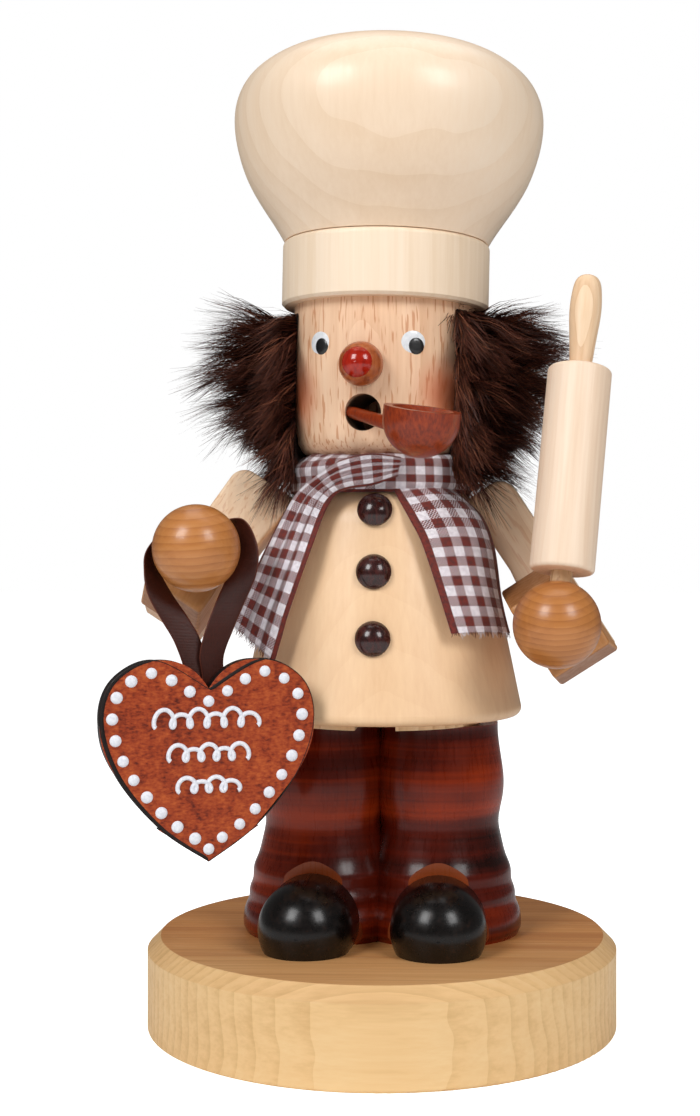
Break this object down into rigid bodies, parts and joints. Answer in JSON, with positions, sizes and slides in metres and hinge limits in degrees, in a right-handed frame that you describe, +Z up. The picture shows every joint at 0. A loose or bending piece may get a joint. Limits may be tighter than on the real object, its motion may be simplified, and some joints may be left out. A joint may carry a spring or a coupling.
{
  "type": "incense smoker figure",
  "caption": "Turned-wood incense smoker shaped as a baker: chef's hat, fur hair, pipe, gingham scarf, rolling pin and a hanging heart; the hollow jacket lifts off an incense tray.",
  "frame": {"origin": "centre of the base plate's underside", "axes": "+Z up, the figure faces -Y, +X to the viewer's right when it is seen from the front"},
  "size_m": [0.1423, 0.14, 0.2913],
  "materials": {
    "pine_base": "matt clear",
    "stained_trousers": "satin stain",
    "black_shoes": "satin black",
    "beech_dowels": "raw",
    "pale_limewood": "satin clear",
    "alder_hands": "satin clear",
    "beech_face": "satin clear",
    "beech_nose": "satin clear",
    "red_lacquer": "gloss lacquer",
    "mahogany_pipe": "satin stain",
    "dark_buttons": "gloss lacquer",
    "tray_brass": "brushed",
    "satin_ribbon": "satin",
    "gingham_cloth": "woven check",
    "brown_fur": "fur",
    "gingerbread_wood": "satin stain"
  },
  "bodies": {
    "lower": {"base_plate": "pine_base", "leg_left": "stained_trousers", "leg_right": "stained_trousers", "shoe_left": "black_shoes", "shoe_right": "black_shoes", "leg_dowels": "beech_dowels", "waist_dowels": "beech_dowels", "shoe_dowels": "beech_dowels", "waist_plate": "pale_limewood"},
    "upper": {"jacket": "pale_limewood", "button_top": "dark_buttons", "button_middle": "dark_buttons", "button_bottom": "dark_buttons", "upper_arm_left": "pale_limewood", "upper_arm_right": "pale_limewood", "forearm_left": "alder_hands", "forearm_right": "alder_hands", "hand_left": "alder_hands", "hand_right": "alder_hands", "shoulder_dowels": "beech_dowels", "elbow_dowels": "beech_dowels", "wrist_dowels": "beech_dowels", "neck_sleeve": "beech_dowels", "head": "beech_face", "nose_boss": "beech_nose", "nose_tip": "red_lacquer", "pipe_stem": "mahogany_pipe", "pipe_bowl": "mahogany_pipe", "hat_band": "pale_limewood", "hat_dome": "pale_limewood", "hat_dowel": "beech_dowels", "pin_barrel": "pale_limewood", "pin_foot": "beech_dowels", "pin_handle": "pale_limewood", "ribbon_loop": "satin_ribbon", "ribbon_left": "satin_ribbon", "ribbon_right": "satin_ribbon", "scarf_collar": "gingham_cloth", "scarf_knot": "gingham_cloth", "scarf_tail_left": "gingham_cloth", "scarf_tail_right": "gingham_cloth", "hair_left": "brown_fur", "hair_right": "brown_fur", "hair_back": "brown_fur"},
    "tray": {"incense_tray": "tray_brass"},
    "heart": {"heart": "gingerbread_wood"}
  },
  "joints": [
    {"name": "figure_lift", "type": "slide", "parent": "lower", "child": "upper", "axis": [0, 0, 1], "range_m": [0, 0.04]},
    {"name": "tray_lift", "type": "slide", "parent": "lower", "child": "tray", "axis": [0, 0, 1], "range_m": [0, 0.015]},
    {"name": "heart_swing", "type": "hinge", "parent": "upper", "child": "heart", "pos_m": [-0.044, -0.052, 0.1036], "axis": [0.3584, -0.9336, 0], "range_deg": [-10, 3]}
  ]
}
